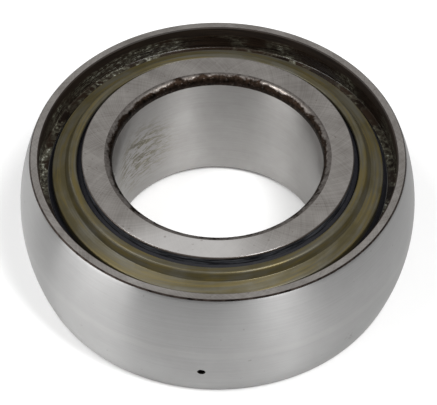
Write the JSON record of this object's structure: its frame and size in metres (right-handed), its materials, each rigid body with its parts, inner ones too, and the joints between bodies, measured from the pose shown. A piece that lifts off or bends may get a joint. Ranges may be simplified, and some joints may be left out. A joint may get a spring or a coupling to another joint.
{
  "type": "ball bearing",
  "caption": "Heavily sealed insert ball bearing with a spherical outside, flush rings, a plain round bore and a grease hole.",
  "frame": {"origin": "centre of the bearing, on its axis and midway between its faces", "axes": "+Z along the axis of rotation; the grease hole lies near -Y and below the middle"},
  "size_m": [0.0858, 0.0858, 0.0302],
  "materials": {
    "ground_steel": "fine ground bearing steel with a light oil film",
    "polished_steel": "lapped balls",
    "pressed_steel": "plain pressed sheet",
    "yellow_passivated_steel": "dull olive-gold passivated pressed sheet",
    "seal_rubber": "matt black nitrile"
  },
  "bodies": {
    "outer": {"outer_ring": "ground_steel", "upper_seal_case": "pressed_steel", "upper_lip_seal": "seal_rubber", "upper_shroud": "yellow_passivated_steel", "lower_seal_case": "pressed_steel", "lower_lip_seal": "seal_rubber", "lower_shroud": "yellow_passivated_steel"},
    "inner": {"inner_ring": "ground_steel"},
    "cage": {"cage_upper": "pressed_steel", "cage_lower": "pressed_steel", "cage_rivet_1": "pressed_steel", "cage_rivet_2": "pressed_steel", "cage_rivet_3": "pressed_steel", "cage_rivet_4": "pressed_steel", "cage_rivet_5": "pressed_steel", "cage_rivet_6": "pressed_steel", "cage_rivet_7": "pressed_steel", "cage_rivet_8": "pressed_steel", "cage_rivet_9": "pressed_steel"},
    "ball_1_body": {"ball_1": "polished_steel"},
    "ball_2_body": {"ball_2": "polished_steel"},
    "ball_3_body": {"ball_3": "polished_steel"},
    "ball_4_body": {"ball_4": "polished_steel"},
    "ball_5_body": {"ball_5": "polished_steel"},
    "ball_6_body": {"ball_6": "polished_steel"},
    "ball_7_body": {"ball_7": "polished_steel"},
    "ball_8_body": {"ball_8": "polished_steel"},
    "ball_9_body": {"ball_9": "polished_steel"}
  },
  "joints": [
    {"name": "inner_ring_spin", "type": "hinge", "parent": "outer", "child": "inner", "pos_m": [0, 0, 0], "axis": [0, 0, 1], "continuous": true},
    {"name": "cage_spin", "type": "hinge", "parent": "outer", "child": "cage", "pos_m": [0, 0, 0], "axis": [0, 0, 1], "continuous": true},
    {"name": "ball_1_spin", "type": "hinge", "parent": "cage", "child": "ball_1_body", "pos_m": [0.0325, 0, 0], "axis": [0, 0, 1], "continuous": true},
    {"name": "ball_2_spin", "type": "hinge", "parent": "cage", "child": "ball_2_body", "pos_m": [0.0249, 0.02089, 0], "axis": [0, 0, 1], "continuous": true},
    {"name": "ball_3_spin", "type": "hinge", "parent": "cage", "child": "ball_3_body", "pos_m": [0.00564, 0.03201, 0], "axis": [0, 0, 1], "continuous": true},
    {"name": "ball_4_spin", "type": "hinge", "parent": "cage", "child": "ball_4_body", "pos_m": [-0.01625, 0.02815, 0], "axis": [0, 0, 1], "continuous": true},
    {"name": "ball_5_spin", "type": "hinge", "parent": "cage", "child": "ball_5_body", "pos_m": [-0.03054, 0.01112, 0], "axis": [0, 0, 1], "continuous": true},
    {"name": "ball_6_spin", "type": "hinge", "parent": "cage", "child": "ball_6_body", "pos_m": [-0.03054, -0.01112, 0], "axis": [0, 0, 1], "continuous": true},
    {"name": "ball_7_spin", "type": "hinge", "parent": "cage", "child": "ball_7_body", "pos_m": [-0.01625, -0.02815, 0], "axis": [0, 0, 1], "continuous": true},
    {"name": "ball_8_spin", "type": "hinge", "parent": "cage", "child": "ball_8_body", "pos_m": [0.00564, -0.03201, 0], "axis": [0, 0, 1], "continuous": true},
    {"name": "ball_9_spin", "type": "hinge", "parent": "cage", "child": "ball_9_body", "pos_m": [0.0249, -0.02089, 0], "axis": [0, 0, 1], "continuous": true}
  ],
  "couplings": [
    {"joint": "cage_spin", "follows": "inner_ring_spin", "ratio": 0.4023},
    {"joint": "ball_1_spin", "follows": "inner_ring_spin", "ratio": -2.4614},
    {"joint": "ball_2_spin", "follows": "inner_ring_spin", "ratio": -2.4614},
    {"joint": "ball_3_spin", "follows": "inner_ring_spin", "ratio": -2.4614},
    {"joint": "ball_4_spin", "follows": "inner_ring_spin", "ratio": -2.4614},
    {"joint": "ball_5_spin", "follows": "inner_ring_spin", "ratio": -2.4614},
    {"joint": "ball_6_spin", "follows": "inner_ring_spin", "ratio": -2.4614},
    {"joint": "ball_7_spin", "follows": "inner_ring_spin", "ratio": -2.4614},
    {"joint": "ball_8_spin", "follows": "inner_ring_spin", "ratio": -2.4614},
    {"joint": "ball_9_spin", "follows": "inner_ring_spin", "ratio": -2.4614}
  ]
}
